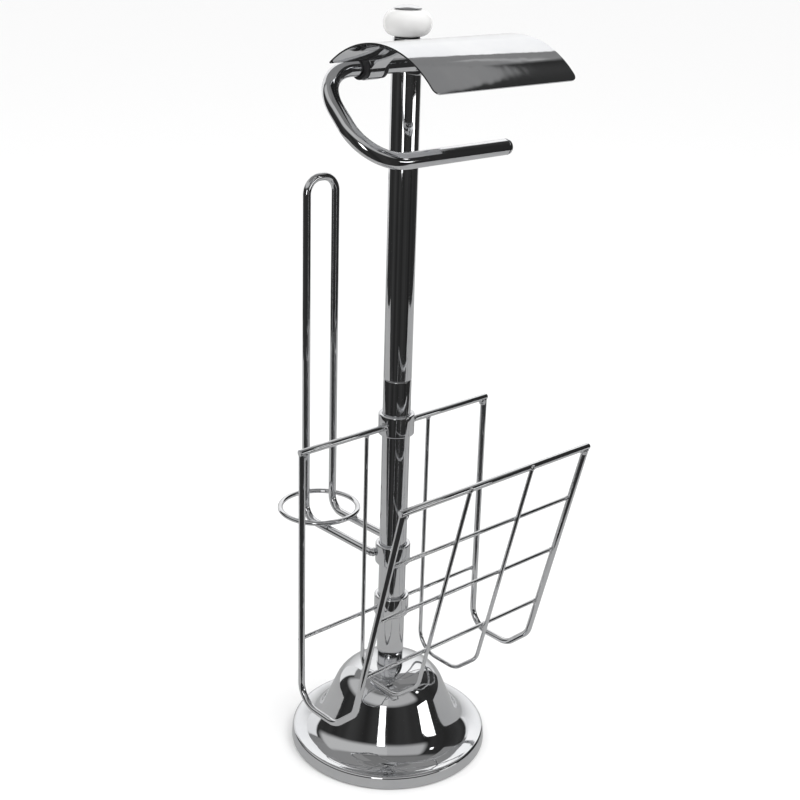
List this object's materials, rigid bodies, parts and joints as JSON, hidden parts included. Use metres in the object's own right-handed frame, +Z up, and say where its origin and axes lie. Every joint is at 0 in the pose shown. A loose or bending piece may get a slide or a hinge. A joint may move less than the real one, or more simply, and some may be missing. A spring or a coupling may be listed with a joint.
{
  "type": "free-standing toilet roll stand",
  "caption": "Free-standing chrome toilet roll stand with a hinged hood over the roll arm, a spare roll loop, a wire magazine rack and a weighted bell base.",
  "frame": {"origin": "centre of the round base, on the floor", "axes": "+Z up along the pole, -Y towards the magazine rack and the roll in use, +Y towards the spare roll loop, X along the roll arm, whose free end points to +X"},
  "size_m": [0.1915, 0.2464, 0.5604],
  "materials": {
    "chrome": "polished chrome plate on steel",
    "zinc_steel": "zinc plated",
    "cast_iron": "black painted casting",
    "black_nylon": "moulded nylon",
    "rubber": "moulded rubber",
    "ceramic": "white gloss glaze"
  },
  "bodies": {
    "stand": {"base_shell": "chrome", "lower_pole": "chrome", "upper_pole": "chrome", "pole_top_plug": "chrome", "knob_cap_screw": "chrome", "roll_arm": "chrome", "arm_tip_cap": "chrome", "arm_root_cap": "chrome", "arm_bracket": "chrome", "bracket_screw": "chrome", "spare_roll_loop": "chrome", "spare_roll_rest": "chrome", "loop_collar": "chrome", "rack_side_wire_left": "chrome", "rack_side_wire_right": "chrome", "rack_inner_wire_left": "chrome", "rack_inner_wire_right": "chrome", "rack_front_top_bar": "chrome", "rack_front_wire_upper": "chrome", "rack_front_wire_middle": "chrome", "rack_front_wire_lower": "chrome", "rack_back_bar_left": "chrome", "rack_back_bar_right": "chrome", "rack_back_wire_left": "chrome", "rack_back_wire_right": "chrome", "rack_upper_collar": "chrome", "rack_lower_collar": "chrome", "base_washer": "zinc_steel", "base_bolt": "zinc_steel", "pole_foot_plug": "zinc_steel", "lower_pole_plug": "zinc_steel", "pole_joint_stud": "zinc_steel", "upper_pole_plug": "zinc_steel", "bracket_set_screw": "zinc_steel", "loop_collar_screw": "zinc_steel", "rack_upper_collar_screw": "zinc_steel", "rack_lower_collar_screw": "zinc_steel", "base_weight": "cast_iron", "knob_washer": "black_nylon", "stop_collar_left": "black_nylon", "stop_collar_centre": "black_nylon", "base_pad": "rubber", "knob": "ceramic"},
    "hood": {"hood": "chrome", "hood_clip_left": "chrome", "hood_clip_right": "chrome", "hinge_bush_left": "black_nylon", "hinge_bush_right": "black_nylon"}
  },
  "joints": [
    {"name": "hood_hinge", "type": "hinge", "parent": "stand", "child": "hood", "pos_m": [0, -0.019, 0.5254], "axis": [-1, 0, 0], "range_deg": [-40, 54]}
  ]
}
